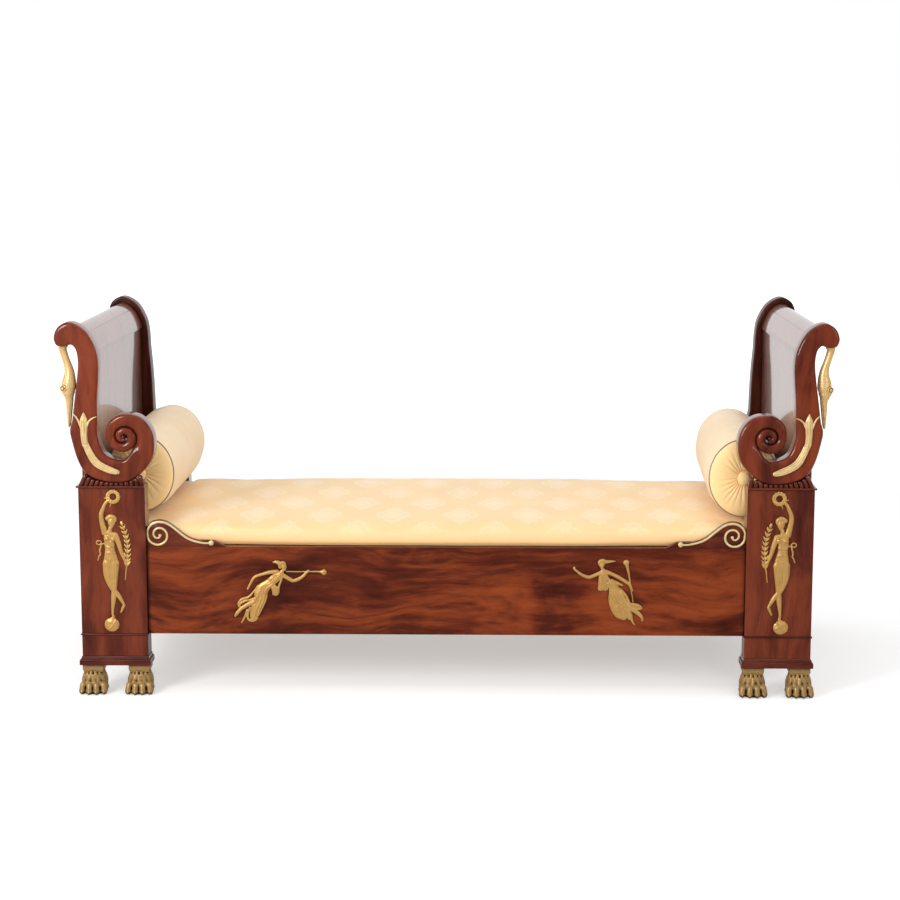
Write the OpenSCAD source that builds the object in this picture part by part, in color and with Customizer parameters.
// Recamier with two scrolled swan-head ends, box rails, paw feet,
// a squab mattress and two bolsters.
// Length runs along X, the front faces -Y and the floor is at Z = 0.

/* [Overall] */
// Length over the two scrolled ends
length = 2000; // [1850:10:2200]
// Depth over the front and rear post faces
depth = 840; // [780:4:880]

/* [Feet] */
// Height of a foot with its square block
foot_h = 79; // [70:1:90]
// Width of a paw across its toes
paw_w = 78; // [66:1:80]
// How far a paw stands in front of the post face
paw_forward = 12; // [6:1:18]
// Height of the square block over the paw
block_h = 18; // [12:1:24]
// Width of the square block over the paw
block_w = 55; // [46:1:56]
// Diameter of the stud that holds a foot
stud_d = 16; // [12:1:20]
// Length of the stud above the foot
stud_l = 45; // [35:1:60]

/* [Posts] */
// Width of a post along the sofa
post_w = 172; // [160:2:184]
// Thickness of a post
post_d = 56; // [52:2:68]
// Height of a post between its base moulding and its capital
post_h = 445; // [415:1:470]
// Distance from the end of the sofa in to the outer face of a post
post_inset = 54; // [48:1:60]
// Height of the base moulding
base_h = 24; // [20:1:30]
// How far the base moulding stands out
base_out = 7; // [5:1:10]
// Height of the plain block between base moulding and bead
plinth_h = 55; // [48:1:62]
// Height of the bead round the post
bead_h = 5; // [4:1:7]
// How far the bead stands out
bead_out = 3; // [2:0.5:5]
// Height of the thin fillet under the capital
fillet_h = 5; // [4:1:8]
// How far the thin fillet stands out
fillet_out = 5; // [3:1:7]
// Height of the reeded capital above its fillet
capital_h = 28; // [24:1:32]
// Number of reeds on one face of a capital
reed_count = 13; // [10:1:20]
// Depth of the cuts between the reeds
reed_cut = 2.5; // [1.5:0.5:4]

/* [Scrolls] */
// Height of a scroll from its lowest point to its crest
scroll_h = 418; // [395:1:440]
// Distance of the volute's eye in from the post's middle line
eye_in = 33; // [30:1:36]
// Height of a scroll's lowest point above the fillet
scroll_lift = 4; // [3:1:6]
// Width of the carved groove in a volute
groove_w = 7; // [5:1:9]
// Depth of the carved groove in a volute
groove_d = 5; // [3:1:8]
// Diameter of the dowel from a post into its scroll
dowel_d = 20; // [16:1:24]
// Height of the dowel above the post
dowel_l = 58; // [40:1:60]

/* [Rails] */
// Height of the front and rear rails
rail_h = 232; // [220:1:250]
// Thickness of the front and rear rails
rail_t = 34; // [28:1:40]
// Set-back of a long rail behind the post face
rail_recess = 12; // [6:1:14]
// Thickness of an end rail
end_rail_t = 30; // [24:1:34]
// Set-back of an end rail behind the post face
end_rail_recess = 8; // [6:1:12]
// Length of a rail tenon
tenon_l = 40; // [30:1:50]
// Thickness of a rail tenon
tenon_t = 14; // [10:1:16]
// Set-in of a tenon at its top and bottom
tenon_shoulder = 20; // [12:1:30]

/* [Head ends] */
// Step from the crest roll's lower lip back to the board below it
panel_step = 3; // [1:1:6]
// Set-in of the crest roll behind the scroll outline
roll_inset = 17; // [10:1:20]

/* [Deck] */
// Thickness of a deck slat
slat_t = 18; // [14:1:22]
// Width of a deck slat
slat_w = 90; // [70:5:110]
// Number of deck slats
slat_count = 7; // [5:1:8]
// Play at each end of a slat
slat_play = 1; // [0.5:0.5:2]
// Width of a cleat under the slats
cleat_w = 24; // [20:1:30]
// Height of a cleat under the slats
cleat_h = 30; // [24:1:36]
// Number of screws in one cleat
cleat_screws_n = 6; // [4:1:8]
// Shank diameter of a cleat screw
screw_d = 5; // [4:0.5:6]
// Head diameter of a cleat screw
screw_head_d = 10; // [8:0.5:11]
// Length of a cleat screw
screw_l = 44; // [36:1:48]

/* [Mattress] */
// Thickness of the mattress at its rim
mattress_t = 52; // [44:1:60]
// Rise of the mattress from its rim to its middle
mattress_crown = 6; // [2:1:10]
// Gap from the mattress to the volutes and posts
mattress_gap = 5; // [4:1:10]
// How far the mattress front swells between the brackets
mattress_swell = 8; // [4:1:12]
// Radius of the mattress corners seen from above
mattress_corner_r = 24; // [16:1:32]
// How far the mattress sides are drawn in at top and bottom
mattress_draw = 9; // [6:1:12]
// Clearance under a soft piece
soft_gap = 0.3; // [0.2:0.1:0.5]

/* [Bolsters] */
// Half the height of a bolster
bolster_r = 112; // [106:1:113]
// Width of a bolster as a share of its height
bolster_squash = 0.875; // [0.85:0.005:0.9]
// Half the height of the piped seam at a bolster's end
seam_r = 102; // [94:1:104]
// How much shorter a bolster is than the space between the uprights
bolster_play = 108; // [90:2:140]
// Half the height of the covered button
button_r = 19; // [14:1:22]
// Height of the covered button
button_h = 7; // [5:1:9]
// Depth of the gathers round the button
gather_d = 3; // [1:0.5:4]
// Number of gathers in one end
gather_count = 12; // [8:2:16]
// Gap between the left bolster and its head end
left_bolster_gap = 1.5; // [1.5:0.5:16]
// Gap between the right bolster and its head end, midway along it
right_bolster_gap = 22.5; // [18:0.5:36]
// How far the left bolster lies behind the middle
left_bolster_back = 10; // [0:1:38]
// How far the right bolster lies in front of the middle
right_bolster_forward = 38; // [0:1:38]
// Turn of the right bolster, seen from above
right_bolster_turn = 2.5; // [0:0.5:2.5]

/* [Gilt mounts] */
// Thickness of a flat gilt mount
gilt_t = 3; // [2:0.5:4]
// Thickness of a relief figure
figure_t = 7; // [5:0.5:9]
// Gap between a post figure's wreath and the capital
figure_gap = 12; // [8:1:40]
// Width unit of a trumpet figure
herald_w = 220; // [190:2:240]
// Distance of the left trumpet figure's hips from the sofa's middle
herald_left_x = 475; // [420:1:520]
// Distance of the right trumpet figure's hips from the sofa's middle
herald_right_x = 430; // [380:1:480]
// Height of the trumpet figures' hips above the rail's lower edge
herald_z = 121; // [112:1:130]
// Diameter of a brass nail
nail_d = 2.4; // [2:0.2:3]
// Length of a brass nail
nail_l = 14; // [11:1:16]

/* [Brackets] */
// Height of a bracket above the rail
bracket_h = 69; // [60:1:74]
// Length of a bracket along the rail
bracket_l = 207; // [180:1:230]
// Thickness of a bracket
bracket_t = 13; // [10:1:14]
// Width of the gilt line on a bracket
line_w = 5.5; // [4:0.5:7]

/* [Hidden] */
// Radial clearance of dowels, studs, screws, nails and tenons
fit = 0.05;
// Overrun of every cut past its face
over = 1;
// Facets of a hull's own spheres
ball_fn = 14;
// Smoothing steps between two outline points
steps = 4;

// Place of the dowel between the eye and the post's middle line
dowel_share = 0.41;

// Corner name, side along X and end along Y
corners = [["front_left", -1, -1], ["front_right", 1, -1],
           ["rear_left", -1, 1], ["rear_right", 1, 1]];
front_corners = [for (c = corners) if (c[2] < 0) c];
rear_corners = [for (c = corners) if (c[2] > 0) c];
sides = [["left", -1], ["right", 1]];
// Position of a foot under its post, towards the middle or the end
foot_places = [["inner", -1], ["outer", 1]];

// Heights, from the floor up
base_z = foot_h;
post_z = base_z + base_h;
bead_z = post_z + plinth_h;
rail_z = bead_z + bead_h / 2;
rail_top = rail_z + rail_h;
post_top = post_z + post_h;
capital_top = post_top + fillet_h + capital_h;
scroll_z = post_top + fillet_h + scroll_lift;
slat_z = rail_top - slat_t;
cleat_z = slat_z - cleat_h;
mattress_z = rail_top + soft_gap;
mattress_top = mattress_z + mattress_t + mattress_crown;
bolster_z = mattress_top + soft_gap + bolster_r;

// Places along X and Y
half_l = length / 2;
half_d = depth / 2;
post_x1 = half_l - post_inset;
post_x0 = post_x1 - post_w;
post_x = (post_x0 + post_x1) / 2;
post_y0 = -half_d;
post_y1 = post_y0 + post_d;
post_y = (post_y0 + post_y1) / 2;
rail_y0 = post_y0 + rail_recess;
rail_y1 = rail_y0 + rail_t;
rail_y = (rail_y0 + rail_y1) / 2;
end_rail_x1 = post_x1 - end_rail_recess;
end_rail_x0 = end_rail_x1 - end_rail_t;
end_rail_x = (end_rail_x0 + end_rail_x1) / 2;
eye_x = post_x - eye_in;
dowel_x = eye_x + dowel_share * eye_in;

// Outline of a scroll in shares of its height, from the volute's eye axis
// outwards and from the scroll's lowest point up. Each row holds the outer
// edge and the inner edge of the band, from the swan joint over the crest
// and down the neck.
band_shares = [[0.332, 0.851, 0.396, 0.851], [0.320, 0.857, 0.412, 0.904],
               [0.308, 0.860, 0.383, 0.970], [0.296, 0.854, 0.310, 1.000],
               [0.279, 0.831, 0.220, 0.950], [0.269, 0.782, 0.160, 0.845],
               [0.269, 0.722, 0.142, 0.745], [0.278, 0.638, 0.145, 0.640],
               [0.295, 0.520, 0.154, 0.520], [0.311, 0.400, 0.156, 0.400],
               [0.3235, 0.2935, 0.158, 0.2935]];
// Radii of the volute's outer edge at every eighth of a turn, from the neck
// under the eye and round to the eye
volute_shares = [0.3235, 0.329, 0.2865, 0.230, 0.1875, 0.166, 0.1425, 0.125,
                 0.1055, 0.100, 0.0955, 0.090, 0.081, 0.0705, 0.0615, 0.056,
                 0.050, 0.0425, 0.035, 0.0275];
// Radii of the open gap's lower edge at the same turns
gap_shares = [0.158, 0.158, 0.141, 0.090];
eye_share = 0.2935;
// Edges of a rear upright from the scroll's seventh station down: the plain
// inner edge that sweeps out over the post, then the outer edge on its way up
plain_inner_shares = [[0.139, 0.640], [0.133, 0.520], [0.127, 0.400], [0.118, 0.280],
                      [0.084, 0.205], [0.010, 0.165], [-0.126, 0.150]];
plain_outer_shares = [[0.285, 0.090], [0.305, 0.170]];
neck_n = len(band_shares) - 1;
// Index at which the gap closes on the next turn of the volute
gap_n = len(gap_shares) - 1;
turn_n = 8;

function at(v, i) = v[max(0, min(len(v) - 1, i))];
// Smooth curve through a list of numbers or points
function smooth(v, t) =
    let (i = floor(t), f = t - i,
         a = at(v, i - 1), b = at(v, i), c = at(v, i + 1), d = at(v, i + 2))
    b + 0.5 * f * ((c - a) + f * ((2 * a - 5 * b + 4 * c - d)
        + f * (3 * (b - c) + d - a)));
function curve(v, t0, t1, n) =
    [for (k = [0 : n]) smooth(v, t0 + (t1 - t0) * k / n)];
// Point of the volute at a radius share and an eighth of a turn
function turned(r, i) = [r * cos(45 * i), eye_share - r * sin(45 * i)];

// Outer and inner edge of the band in shares, neck first and then volute
outer_edge = concat([for (b = band_shares) [b[0], b[1]]],
    [for (i = [1 : len(volute_shares) - 1]) turned(volute_shares[i], i)]);
inner_edge = concat([for (b = band_shares) [b[2], b[3]]],
    [for (i = [1 : gap_n]) turned(gap_shares[i], i)]);
// A point between the edges: 0 on the inner edge and 1 on the outer edge
function across(t, s) = smooth(inner_edge, t) * (1 - s) + smooth(outer_edge, t) * s;
function reversed(v) = [for (i = [len(v) - 1 : -1 : 0]) v[i]];

outer_end = neck_n + gap_n + turn_n;
scroll_outline = concat(
    curve(inner_edge, 0, neck_n + gap_n, steps * (neck_n + gap_n)),
    [for (k = [steps * outer_end - 1 : -1 : 0]) smooth(outer_edge, k / steps)]);

// A rear upright shares the crest and the outer edge of a scroll
plain_from = 6;
plain_inner = concat([for (i = [0 : plain_from]) inner_edge[i]], plain_inner_shares);
plain_outer = concat(plain_outer_shares, [for (i = [neck_n : -1 : 0]) outer_edge[i]]);

// Outline of a bar with round ends of radii a and b between points p and q
function bar(p, q, a, b, n = 6) =
    let (v = q - p, d = norm(v), h = atan2(v[1], v[0]), w = acos((a - b) / d))
    concat([for (k = [0 : n]) p + a * [cos(h + w + (360 - 2 * w) * k / n),
                                       sin(h + w + (360 - 2 * w) * k / n)]],
           [for (k = [0 : n]) q + b * [cos(h - w + 2 * w * k / n),
                                       sin(h - w + 2 * w * k / n)]]);

// A chain of bars: rows of x share, z share and radius share
module limbs(rows, unit) {
    for (k = [0 : len(rows) - 2])
        polygon(bar([rows[k][0], rows[k][1]] * unit,
                    [rows[k + 1][0], rows[k + 1][1]] * unit,
                    rows[k][2] * unit, rows[k + 1][2] * unit));
}

// An outline in X and Z made t thick towards +Y from y0
module upright(y0, t) {
    translate([0, y0 + t, 0])
        rotate([90, 0, 0])
            linear_extrude(height = t)
                children();
}

module at_corner(c) {
    mirror([c[1] < 0 ? 1 : 0, 0, 0])
        mirror([0, c[2] > 0 ? 1 : 0, 0])
            children();
}

module at_side(s) {
    mirror([s[1] < 0 ? 1 : 0, 0, 0])
        children();
}

module box(x0, x1, y0, y1, z0, z1) {
    translate([x0, y0, z0])
        cube([x1 - x0, y1 - y0, z1 - z0]);
}

// Centres of the two feet under a post
paw_gap_share = 0.32;
foot_dx = post_w * (1 - paw_gap_share) / 2 + base_out / 4;
foot_y = post_y0 - base_out + paw_w / 2 - paw_forward / 4;

module foot_shape() {
    top = foot_h - block_h;
    toe_r = paw_w / 9;
    front = -paw_w / 2 + toe_r - (paw_forward - base_out);
    translate([-block_w / 2, -block_w / 2, top])
        cube([block_w, block_w, block_h]);
    translate([0, 0, top - over])
        cylinder(h = stud_l + block_h + over, d = stud_d);
    hull() {
        translate([0, 0, top - block_h / 2])
            cylinder(h = block_h / 2, d = block_w * 0.8, $fn = 24);
        translate([0, toe_r, toe_r * 2])
            cylinder(h = toe_r, d = block_w * 0.94, $fn = 24);
        translate([-paw_w * 0.4, -toe_r, 0])
            cube([paw_w * 0.8, paw_w * 0.36, toe_r]);
    }
    for (k = [-1.5 : 1 : 1.5]) {
        lead = toe_r * (1 - abs(k) / 2);
        translate([k * toe_r * 2.3, front + toe_r - lead, toe_r * 1.05])
            sphere(r = toe_r * 1.04);
        translate([k * toe_r * 2.3, front + toe_r - lead, toe_r * 1.9])
            rotate([-68, 0, 0])
                cylinder(h = toe_r * 3.2, r = toe_r * 0.9);
    }
}

module foot(c, p) {
    color("goldenrod")
        at_corner(c)
            translate([post_x + p[1] * foot_dx, foot_y, 0])
                difference() {
                    foot_shape();
                    translate([-paw_w, -paw_w, -paw_w])
                        cube([paw_w * 2, paw_w * 2, paw_w]);
                }
}

module stud_holes() {
    for (p = foot_places)
        translate([post_x + p[1] * foot_dx, foot_y, foot_h - over])
            cylinder(h = stud_l + over + fit, d = stud_d + 2 * fit);
}

module base_moulding(c) {
    lip = base_h / 4;
    color("saddlebrown")
        at_corner(c)
            difference() {
                union() {
                    box(post_x0 - base_out, post_x1 + base_out, post_y0 - base_out, post_y1,
                        base_z, base_z + base_h - 2 * lip);
                    box(post_x0 - base_out * 0.6, post_x1 + base_out * 0.6,
                        post_y0 - base_out * 0.6, post_y1,
                        base_z + base_h - 2 * lip, base_z + base_h - lip);
                    box(post_x0 - base_out * 0.2, post_x1 + base_out * 0.2,
                        post_y0 - base_out * 0.2, post_y1,
                        base_z + base_h - lip, post_z);
                }
                stud_holes();
            }
}

// The end tenon stops short of the long rail's tenon
end_tenon_l = post_d / 3;

module mortises() {
    box(post_x0 - over, post_x0 + tenon_l + fit, rail_y - tenon_t / 2 - fit,
        rail_y + tenon_t / 2 + fit, rail_z + tenon_shoulder - fit,
        rail_top - tenon_shoulder + fit);
    box(end_rail_x - tenon_t / 2 - fit, end_rail_x + tenon_t / 2 + fit,
        post_y1 - end_tenon_l - fit, post_y1 + over,
        rail_z + tenon_shoulder - fit, rail_top - tenon_shoulder + fit);
}
module dowel_hole(z0) {
    translate([dowel_x, post_y, z0])
        cylinder(h = post_top + dowel_l + fit - z0, d = dowel_d + 2 * fit);
}

module post(c) {
    color("sienna")
        at_corner(c)
            difference() {
                union() {
                    box(post_x0, post_x1, post_y0, post_y1, post_z, post_top);
                    translate([dowel_x, post_y, post_top - over])
                        cylinder(h = dowel_l + over, d = dowel_d);
                }
                mortises();
                stud_holes();
                if (c[2] < 0) {
                    figure_nail_holes();
                }
            }
}

// A strip on the front face of a post that turns round its outer edge
module bead(c) {
    color("maroon")
        at_corner(c)
            difference() {
                box(post_x0, post_x1 + bead_out, post_y0 - bead_out, post_y1,
                    bead_z, bead_z + bead_h);
                box(post_x0 - over, post_x1, post_y0, post_y1 + over,
                    bead_z - over, bead_z + bead_h + over);
            }
}

module scroll_face() {
    translate([eye_x, scroll_z])
        polygon(scroll_outline * scroll_h);
}

module capital(c) {
    reed_pitch = post_w / reed_count;
    color("maroon")
        at_corner(c)
            difference() {
                union() {
                    box(post_x0, post_x1 + fillet_out, post_y0 - fillet_out, post_y1,
                        post_top, post_top + fillet_h);
                    box(post_x0, post_x1 - fillet_out, post_y0, post_y1,
                        post_top + fillet_h - over, capital_top);
                }
                if (c[2] < 0) {
                    upright(post_y0 - over, post_d + 2 * over)
                        scroll_face();
                }
                for (k = [1 : reed_count - 1])
                    box(post_x0 + reed_pitch * (k - 0.12), post_x0 + reed_pitch * (k + 0.12),
                        post_y0 - over, post_y0 + reed_cut,
                        post_top + fillet_h, capital_top + over);
                dowel_hole(post_top - over);
            }
}

// Carved line that carries the volute on to its eye. It starts inside the
// open gap, a little before the gap closes.
groove_lead_share = 0.4;

module groove() {
    last = len(outer_edge) - 1;
    first = outer_end - groove_lead_share;
    n = steps * (last - outer_end);
    line = curve(outer_edge, first, last, n) * scroll_h;
    eye = [0, eye_share * scroll_h];
    function side(k, w) = eye + (line[k] - eye) * (1 + w / norm(line[k] - eye));
    translate([eye_x, scroll_z])
        polygon(concat([for (k = [0 : n]) side(k, groove_w / 2)],
                       [for (k = [n : -1 : 0]) side(k, -groove_w / 2)]));
}

module scroll(c) {
    color("sienna")
        at_corner(c)
            difference() {
                upright(post_y0, post_d)
                    scroll_face();
                upright(post_y0 - over, groove_d + over)
                    groove();
                upright(post_y1 - groove_d, groove_d + over)
                    groove();
                dowel_hole(post_top - over);
                leaf_nail_holes();
            }
}

// Plain board that carries a head end at the back
module rear_upright(c) {
    foot = (capital_top - scroll_z) / scroll_h;
    inner = curve(plain_inner, 0, len(plain_inner) - 1, steps * (len(plain_inner) - 1));
    outer = curve(plain_outer, 0, len(plain_outer) - 1, steps * (len(plain_outer) - 1));
    color("sienna")
        at_corner(c)
            difference() {
                upright(post_y0, post_d)
                    translate([eye_x, scroll_z])
                        polygon(concat(inner, [[plain_inner_shares[6][0], foot],
                                               [plain_outer_shares[0][0], foot]],
                                       outer) * scroll_h);
                dowel_hole(post_top - over);
            }
}

// Swan head: rows of share along its length, offset out of the neck and radius
swan_joint = (outer_edge[0] + inner_edge[0]) / 2 * scroll_h;
swan_neck_r = (inner_edge[0][0] - outer_edge[0][0]) * scroll_h / 2;
// Height of the beak tip, and the cheek's radius as a share of the neck's
swan_tip_share = 0.358;
swan_cheek_share = 1.42;
swan_l = swan_joint[1] - swan_tip_share * scroll_h;
swan_r = swan_neck_r * swan_cheek_share;
swan_rows = [[0.062, 0, 0.62], [0.18, -0.10, 0.62], [0.50, -0.60, 1.0],
             [0.72, -0.60, 0.62], [0.975, -0.52, 0.25]];

module swan_head(c) {
    color("gold")
        at_corner(c)
            translate([eye_x + swan_joint[0], post_y, scroll_z + swan_joint[1]]) {
                translate([0, 0, -swan_l * swan_rows[0][0] - over])
                    cylinder(h = swan_l * swan_rows[0][0] + over, r = swan_r * 0.66);
                for (k = [0 : len(swan_rows) - 2])
                    hull() {
                        for (r = [swan_rows[k], swan_rows[k + 1]])
                            translate([swan_r * r[1], 0, -swan_l * r[0]])
                                sphere(r = swan_r * r[2], $fn = ball_fn);
                    }
            }
}

// Leaf mount: rows in shares of the scroll height from the eye axis and the
// scroll's lowest point, with a radius share
leaf_rows = [[0.242, 0.438, 0.006], [0.241, 0.408, 0.022], [0.235, 0.359, 0.016],
             [0.230, 0.285, 0.015], [0.224, 0.218, 0.016], [0.192, 0.147, 0.017],
             [0.136, 0.103, 0.017], [0.067, 0.078, 0.017], [0.031, 0.075, 0.016]];
petal_rows = [[[0.236, 0.368, 0.010], [0.268, 0.405, 0.007], [0.295, 0.438, 0.004]],
              [[0.236, 0.368, 0.010], [0.204, 0.403, 0.007], [0.168, 0.422, 0.004]]];
leaf_nail_rows = [leaf_rows[2], leaf_rows[6]];

module leaf_outline() {
    limbs(leaf_rows, scroll_h);
    for (p = petal_rows)
        limbs(p, scroll_h);
}

module nail_shank(y0, gap) {
    translate([0, y0 - gap, 0])
        rotate([-90, 0, 0])
            cylinder(h = nail_l + 2 * gap, d = nail_d + 2 * gap);
}

module leaf_nails(gap) {
    for (n = leaf_nail_rows)
        translate([eye_x + n[0] * scroll_h, 0, scroll_z + n[1] * scroll_h])
            nail_shank(post_y0 - gilt_t, gap);
}

module leaf_nail_holes() {
    leaf_nails(fit);
}

module leaf_mount(c) {
    color("gold")
        at_corner(c)
            difference() {
                upright(post_y0 - gilt_t, gilt_t)
                    translate([eye_x, scroll_z])
                        leaf_outline();
                leaf_nail_holes();
            }
}

module long_rail(ends) {
    mirror([0, ends > 0 ? 1 : 0, 0])
        difference() {
            union() {
                box(-post_x0, post_x0, rail_y0, rail_y1, rail_z, rail_top);
                box(-post_x0 - tenon_l, post_x0 + tenon_l, rail_y - tenon_t / 2,
                    rail_y + tenon_t / 2, rail_z + tenon_shoulder, rail_top - tenon_shoulder);
            }
            cleat_screw_set(fit);
            if (ends < 0) {
                herald_nail_holes();
            }
        }
}

module front_rail() {
    color("chocolate")
        long_rail(-1);
}

module rear_rail() {
    color("sienna")
        long_rail(1);
}

module end_rail(s) {
    color("sienna")
        at_side(s) {
            box(end_rail_x0, end_rail_x1, post_y1, -post_y1, rail_z, rail_top);
            box(end_rail_x - tenon_t / 2, end_rail_x + tenon_t / 2,
                post_y1 - end_tenon_l, end_tenon_l - post_y1,
                rail_z + tenon_shoulder, rail_top - tenon_shoulder);
        }
}

// Stations on the band where the crest roll starts and ends and where the
// board under it leaves the band
roll_start_share = 0.7;
roll_end_share = 5.5;
panel_end_share = neck_n + 0.6;
panel_share = 0.98;
roll_width = norm(outer_edge[4] - inner_edge[4]) * scroll_h;

// Upper corners of the board under the roll, beside the seat and outside
roll_lip = across(roll_end_share, roll_inset / roll_width) * scroll_h;
panel_back = across(roll_end_share, panel_share) * scroll_h;
panel_top = roll_lip + (panel_back - roll_lip) * panel_step / norm(panel_back - roll_lip);

// Board behind a head end: upright towards the seat, along the neck outside
module head_panel(s) {
    n = 24;
    foot_z = rail_top - scroll_z;
    function back(f) =
        across(roll_end_share + (panel_end_share - roll_end_share) * f, panel_share) * scroll_h;
    color("peru")
        at_side(s)
            upright(post_y1, -2 * post_y1)
                translate([eye_x, scroll_z])
                    polygon(concat([for (k = [0 : n]) back(k / n)],
                        [[back(1)[0], foot_z], [panel_top[0], foot_z], panel_top]));
}

// Rolled crest rail between the front and rear scrolls of one end
module crest_roll(s) {
    n = 22;
    share = roll_inset / roll_width;
    function station(f) = roll_start_share + (roll_end_share - roll_start_share) * f;
    color("sienna")
        at_side(s)
            upright(post_y1, -2 * post_y1)
                translate([eye_x, scroll_z])
                    polygon(concat(
                        [for (k = [0 : n]) across(station(k / n), share) * scroll_h],
                        [for (k = [n : -1 : 0]) across(station(k / n), panel_share) * scroll_h]));
}

module cleat(ends) {
    color("burlywood")
        mirror([0, ends > 0 ? 1 : 0, 0])
            difference() {
                box(-post_x0 + over, post_x0 - over, rail_y1, rail_y1 + cleat_w,
                    cleat_z, slat_z);
                cleat_screw_set(fit);
            }
}

// Screws of one cleat, head first and shank into the rail
module cleat_screw_set(gap) {
    pitch = 2 * post_x0 / cleat_screws_n;
    head_h = screw_d / 2;
    for (k = [0 : cleat_screws_n - 1])
        translate([pitch * (k + 0.5) - post_x0, rail_y1 + cleat_w, cleat_z + cleat_h / 2])
            rotate([90, 0, 0]) {
                translate([0, 0, -gap])
                    cylinder(h = head_h + 2 * gap, d = screw_head_d + 2 * gap);
                cylinder(h = screw_l + gap, d = screw_d + 2 * gap);
            }
}

module cleat_screws() {
    color("gray")
        for (e = [0, 1])
            mirror([0, e, 0])
                cleat_screw_set(0);
}

module slats() {
    pitch = 2 * post_x0 / slat_count;
    color("burlywood")
        for (k = [0 : slat_count - 1])
            translate([pitch * (k + 0.5) - post_x0 - slat_w / 2, rail_y1 + slat_play, slat_z])
                cube([slat_w, -2 * (rail_y1 + slat_play), slat_t]);
}

// Plan of the mattress in one quarter, from the end's middle to the front's
// middle. The end part lies between the posts.
mattress_x1 = eye_x + inner_edge[6][0] * scroll_h - mattress_gap;
mattress_x0 = post_x0 - mattress_gap;
mattress_y1 = -post_y1 - mattress_gap;
mattress_y0 = -rail_y0 - bracket_t - soft_gap;

function corner_arc(x, y, r, a0, a1, n = 4) =
    [for (k = [0 : n]) [x + r * cos(a0 + (a1 - a0) * k / n),
                        y + r * sin(a0 + (a1 - a0) * k / n)]];
function swell(x) =
    let (u = max(0, min(1, (post_x0 - bracket_l - abs(x)) / bracket_l)))
    mattress_swell * u * u * (3 - 2 * u);

function mattress_quarter() =
    let (r = mattress_corner_r, e = r / 2)
    concat([for (k = [0 : 3]) [mattress_x1, (mattress_y1 - r) * k / 4]],
        corner_arc(mattress_x1 - r, mattress_y1 - r, r, 0, 90),
        [[(mattress_x1 + mattress_x0) / 2, mattress_y1]],
        corner_arc(mattress_x0 + e, mattress_y1 + e, e, 270, 180, 2),
        corner_arc(mattress_x0 - r, mattress_y0 - r, r, 0, 90),
        [for (k = [1 : 8]) let (x = (mattress_x0 - r) * (1 - k / 8.5)) [x, mattress_y0 + swell(x)]]);

function full_ring(q) =
    concat(q, [for (p = reversed(q)) [-p[0], p[1]]],
        [for (p = [for (i = [0 : len(q) - 2]) q[i]]) [-p[0], -p[1]]],
        [for (p = reversed([for (i = [1 : len(q) - 1]) q[i]])) [p[0], -p[1]]]);

// Rings of the mattress: inset from the rim and height, bottom to top
function mattress_rings() =
    let (d = mattress_draw, t = mattress_t, c = mattress_crown)
    [[d * 1.6, 0], [d * 0.5, t * 0.10], [0, t * 0.36], [d * 0.1, t * 0.66],
     [d * 0.7, t * 0.88], [d * 1.9, t], [d * 4, t + c * 0.94],
     [mattress_y1 * 0.5, t + c * 0.98], [mattress_y1 * 0.9, t + c]];

// Places of the bolsters, each a gap away from the head end beside it
bolster_l = -2 * post_y1 - bolster_play;
function against_panel(gap) = eye_x + panel_top[0] - bolster_r * bolster_squash - gap;

// Closed skin through rings of equal count, with a middle point at each end
module skin(rings, first, last) {
    n = len(rings[0]);
    m = len(rings);
    points = concat([first], [for (r = rings) each r], [last]);
    function id(j, i) = 1 + j * n + (i % n);
    faces = concat(
        [for (i = [0 : n - 1]) [0, id(0, i), id(0, i + 1)]],
        [for (j = [0 : m - 2]) for (i = [0 : n - 1]) each
            [[id(j, i), id(j + 1, i), id(j + 1, i + 1)],
             [id(j, i), id(j + 1, i + 1), id(j, i + 1)]]],
        [for (i = [0 : n - 1]) [1 + m * n, id(m - 1, i + 1), id(m - 1, i)]]);
    polyhedron(points = points, faces = faces);
}

module mattress() {
    ring = full_ring(mattress_quarter());
    rows = mattress_rings();
    color("wheat")
        skin([for (r = rows) [for (p = ring) [p[0] * (1 - r[0] / mattress_x1),
                                              p[1] * (1 - r[0] / mattress_y0),
                                              mattress_z + r[1]]]],
             [0, 0, mattress_z], [0, 0, mattress_top]);
}

// Profile of one bolster end: radius, distance in from the button and the
// share of the gathers' depth
function bolster_end() =
    let (b = button_r, s = seam_r, h = button_h)
    [[b * 0.6, h * 0.14, 0], [b, h * 0.6, 0], [b * 1.1, h * 1.5, 0.4],
     [s * 0.35, h * 1.15, 1], [s * 0.6, h * 0.95, 0.7], [s * 0.85, h * 1.4, 0.3],
     [s, h * 2.4, 0], [s * 0.4 + bolster_r * 0.6, h * 4, 0],
     [s * 0.1 + bolster_r * 0.9, h * 8, 0], [bolster_r, h * 14, 0]];

module bolster_shape() {
    n = gather_count * 4;
    ends = bolster_end();
    function ring(r, y, g, f) = [for (k = [0 : n - 1])
        let (a = 360 * k / n, dip = gather_d * g * (0.5 - 0.5 * cos(360 * k / 4)))
        [r * bolster_squash * sin(a), f * (y - dip), r * cos(a)]];
    half = bolster_l / 2;
    rings = concat(
        [for (e = ends) ring(e[0], half - e[1], e[2], -1)],
        [for (e = reversed(ends)) ring(e[0], half - e[1], e[2], 1)]);
    skin(rings, [0, -half, 0], [0, half, 0]);
}

module bolster_left() {
    color("khaki")
        translate([-against_panel(left_bolster_gap), left_bolster_back, bolster_z])
            bolster_shape();
}

module bolster_right() {
    color("khaki")
        translate([against_panel(right_bolster_gap), -right_bolster_forward, bolster_z])
            rotate([0, 0, -right_bolster_turn])
                bolster_shape();
}

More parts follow.
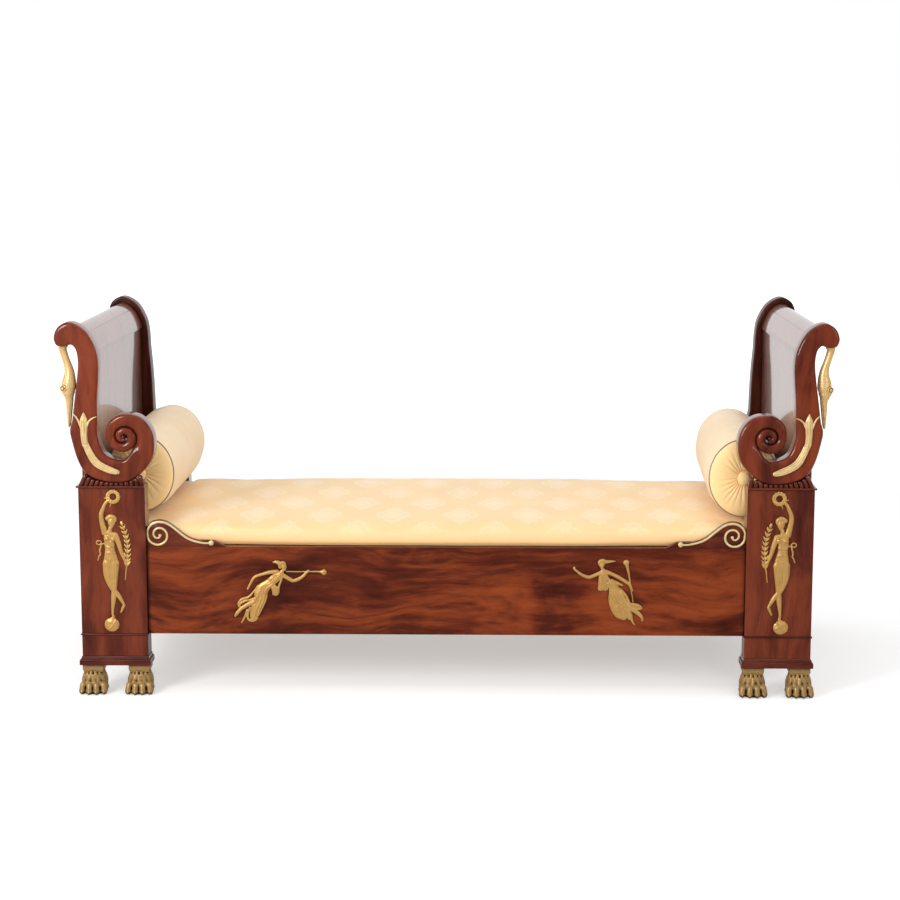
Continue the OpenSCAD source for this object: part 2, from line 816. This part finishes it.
// Post figure: shares of its height from the post's middle line and the bead,
// outwards positive. She stands on a ball and holds a wreath over her head.
figure_limbs = [
    [[0.033, 0.922, 0.014], [0.082, 0.820, 0.014], [0.044, 0.700, 0.018]],
    [[-0.044, 0.683, 0.018], [-0.071, 0.549, 0.014], [-0.078, 0.459, 0.011]],
    [[-0.001, 0.762, 0.030], [-0.002, 0.715, 0.016]],
    [[0.034, 0.690, 0.024], [-0.034, 0.680, 0.024]],
    [[0.002, 0.680, 0.046], [0.014, 0.570, 0.038], [0.013, 0.505, 0.052]],
    [[0.030, 0.500, 0.034], [0.010, 0.330, 0.026], [0.020, 0.150, 0.015], [0.010, 0.118, 0.014]],
    [[-0.010, 0.495, 0.034], [-0.012, 0.340, 0.026], [-0.062, 0.215, 0.015], [-0.046, 0.140, 0.011]],
    [[-0.070, 0.360, 0.006], [-0.090, 0.495, 0.010], [-0.099, 0.640, 0.010], [-0.097, 0.765, 0.004]],
    [[0.053, 0.650, 0.009], [0.096, 0.632, 0.010], [0.100, 0.527, 0.007]],
    [[0.014, 0.924, 0.007], [0.006, 0.870, 0.005]]];
wreath_shares = [0.005, 0.958, 0.040, 0.022];
ball_shares = [0.014, 0.058, 0.056];
figure_nail_shares = [[0.006, 0.62], [0.014, 0.075]];
figure_z = bead_z + bead_h;
figure_h = (post_top - figure_gap - figure_z) / (wreath_shares[1] + wreath_shares[2]);

module figure_outline() {
    for (row = figure_limbs)
        limbs(row, figure_h);
    translate([ball_shares[0], ball_shares[1]] * figure_h)
        circle(r = ball_shares[2] * figure_h, $fn = 32);
    translate([wreath_shares[0], wreath_shares[1]] * figure_h)
        difference() {
            circle(r = wreath_shares[2] * figure_h, $fn = 32);
            circle(r = wreath_shares[3] * figure_h, $fn = 32);
        }
}

module figure_nails(gap) {
    for (n = figure_nail_shares)
        translate([post_x + n[0] * figure_h, 0, figure_z + n[1] * figure_h])
            nail_shank(post_y0 - figure_t, gap);
}

module figure_nail_holes() {
    figure_nails(fit);
}

module post_figure(s) {
    color("gold")
        at_side(s)
            difference() {
                upright(post_y0 - figure_t, figure_t)
                    translate([post_x, figure_z])
                        figure_outline();
                figure_nail_holes();
            }
}

// Trumpet figures: shares of their width unit from the hips
herald_left_limbs = [
    [[0.258, 0.286, 0.052], [0.185, 0.315, 0.036], [0.143, 0.345, 0.014]],
    [[0.299, 0.225, 0.010], [0.640, 0.227, 0.012], [0.725, 0.227, 0.048]],
    [[0.230, 0.190, 0.026], [0.381, 0.122, 0.022], [0.549, 0.215, 0.016]],
    [[0.170, 0.225, 0.026], [-0.077, 0.171, 0.020], [-0.173, 0.005, 0.014]],
    [[0.250, 0.250, 0.024], [0.195, 0.180, 0.070], [0.070, 0.070, 0.080], [0.000, 0.010, 0.100]],
    [[0.060, 0.060, 0.070], [0.140, -0.010, 0.030]],
    [[0.000, 0.000, 0.100], [-0.060, -0.140, 0.080], [-0.105, -0.340, 0.028]],
    [[0.010, -0.050, 0.070], [-0.010, -0.190, 0.045]],
    [[-0.093, -0.148, 0.040], [-0.237, -0.217, 0.022], [-0.323, -0.314, 0.012]],
    [[-0.090, -0.240, 0.030], [-0.215, -0.330, 0.016], [-0.254, -0.409, 0.010]],
    [[-0.050, -0.060, 0.060], [-0.190, -0.105, 0.040], [-0.290, -0.175, 0.014]]];
herald_right_limbs = [
    [[-0.120, 0.335, 0.052], [-0.040, 0.360, 0.036], [0.034, 0.375, 0.012]],
    [[-0.130, 0.235, 0.026], [-0.273, 0.168, 0.022], [-0.450, 0.280, 0.014]],
    [[-0.080, 0.245, 0.026], [0.120, 0.149, 0.022], [0.224, 0.031, 0.016]],
    [[0.247, -0.109, 0.010], [0.190, 0.240, 0.012], [0.160, 0.350, 0.046]],
    [[-0.112, 0.280, 0.024], [-0.105, 0.210, 0.070], [-0.042, 0.100, 0.080], [0.010, 0.050, 0.100]],
    [[-0.080, 0.100, 0.060], [-0.135, 0.020, 0.034]],
    [[0.010, 0.040, 0.100], [0.055, -0.120, 0.095], [0.110, -0.290, 0.050]],
    [[0.055, -0.100, 0.090], [0.190, -0.325, 0.020]],
    [[0.140, -0.100, 0.060], [0.331, -0.240, 0.020], [0.368, -0.349, 0.012]],
    [[0.180, -0.240, 0.030], [0.245, -0.320, 0.018], [0.276, -0.406, 0.010]],
    [[0.180, -0.100, 0.040], [0.330, -0.165, 0.012]]];
// Place along X, limbs and nail places of each trumpet figure
heralds = [[-herald_left_x, herald_left_limbs, [[0.10, 0.10], [-0.05, -0.14]]],
           [herald_right_x, herald_right_limbs, [[-0.05, 0.12], [0.05, -0.14]]]];

module herald_nails(h, gap) {
    for (n = h[2])
        translate([h[0] + n[0] * herald_w, 0, rail_z + herald_z + n[1] * herald_w])
            nail_shank(rail_y0 - figure_t, gap);
}

module herald_nail_holes() {
    for (h = heralds)
        herald_nails(h, fit);
}

module herald(h) {
    color("gold")
        difference() {
            upright(rail_y0 - figure_t, figure_t)
                translate([h[0], rail_z + herald_z])
                    for (row = h[1])
                        limbs(row, herald_w);
            herald_nail_holes();
        }
}

// Bracket outline in shares of its length and height, from the post inwards
bracket_shares = [[0, 0.70], [0.06, 0.92], [0.15, 1.00], [0.23, 0.97], [0.30, 0.87],
                  [0.39, 0.66], [0.48, 0.44], [0.57, 0.30], [0.69, 0.21], [0.81, 0.19],
                  [0.86, 0.21], [0.90, 0.15], [0.95, 0.06], [1.00, 0.00]];
bracket_eye_shares = [0.153, 0.44];
line_start_shares = [0.153, 0.93];

module bracket_outline() {
    top = [for (p = curve(bracket_shares, 0, len(bracket_shares) - 1,
                          steps * (len(bracket_shares) - 1)))
           [post_x0 - p[0] * bracket_l, rail_top + max(0, p[1]) * bracket_h]];
    polygon(concat([[post_x0, rail_top]], top));
}

// Centre line of the gilt inlay: an S line that winds into a spiral
function inlay_points() =
    let (eye = [post_x0 - bracket_eye_shares[0] * bracket_l,
                rail_top + bracket_eye_shares[1] * bracket_h],
         r0 = (line_start_shares[1] - bracket_eye_shares[1]) * bracket_h,
         turns = 600, n = 26)
    concat(
        [for (p = reversed([for (i = [3 : 9]) bracket_shares[i]]))
            [post_x0 - p[0] * bracket_l, rail_top + (p[1] - 0.07) * bracket_h]],
        [for (k = [0 : n]) let (a = turns * k / n, r = r0 * pow(1 - k / (n + 2), 0.8))
            eye + r * [sin(a), cos(a)]]);

module bracket_inlay(s) {
    pts = inlay_points();
    color("gold")
        at_side(s)
            difference() {
                upright(rail_y0 - gilt_t, gilt_t) {
                    for (k = [0 : len(pts) - 2])
                        polygon(bar(pts[k], pts[k + 1], line_w / 2, line_w / 2.02));
                    translate(pts[0])
                        circle(r = line_w, $fn = 24);
                }
                box(post_x0, post_x1, post_y0, rail_y0, rail_top, rail_top + 2 * bracket_h);
                inlay_nails(fit);
            }
}

module inlay_nails(gap) {
    pts = inlay_points();
    for (p = [pts[0], pts[6]])
        translate([p[0], 0, p[1]])
            nail_shank(rail_y0 - gilt_t, gap);
}

module bracket(s) {
    color("sienna")
        at_side(s)
            difference() {
                upright(rail_y0, bracket_t)
                    bracket_outline();
                inlay_nails(fit);
            }
}

module brass_nails() {
    color("gold") {
        for (c = front_corners)
            at_corner(c)
                leaf_nails(0);
        for (s = sides)
            at_side(s) {
                figure_nails(0);
                inlay_nails(0);
            }
        for (h = heralds)
            herald_nails(h, 0);
    }
}

corner_parts = ["post", "base_moulding", "bead", "capital"];
front_parts = ["scroll", "swan_head", "leaf_mount"];
side_parts = ["end_rail", "head_panel", "crest_roll", "post_figure", "bracket", "bracket_inlay"];

for (c = corners) {
    post(c);
    base_moulding(c);
    bead(c);
    capital(c);
    for (p = foot_places)
        foot(c, p);
}
for (c = front_corners) {
    scroll(c);
    swan_head(c);
    leaf_mount(c);
}
for (c = rear_corners)
    rear_upright(c);
for (s = sides) {
    end_rail(s);
    head_panel(s);
    crest_roll(s);
    post_figure(s);
    bracket(s);
    bracket_inlay(s);
}
front_rail();
rear_rail();
herald(heralds[0]);  // herald_left
herald(heralds[1]);  // herald_right
cleat(-1);  // cleat_front
cleat(1);  // cleat_rear
slats();
cleat_screws();
brass_nails();
mattress();
bolster_left();
bolster_right();
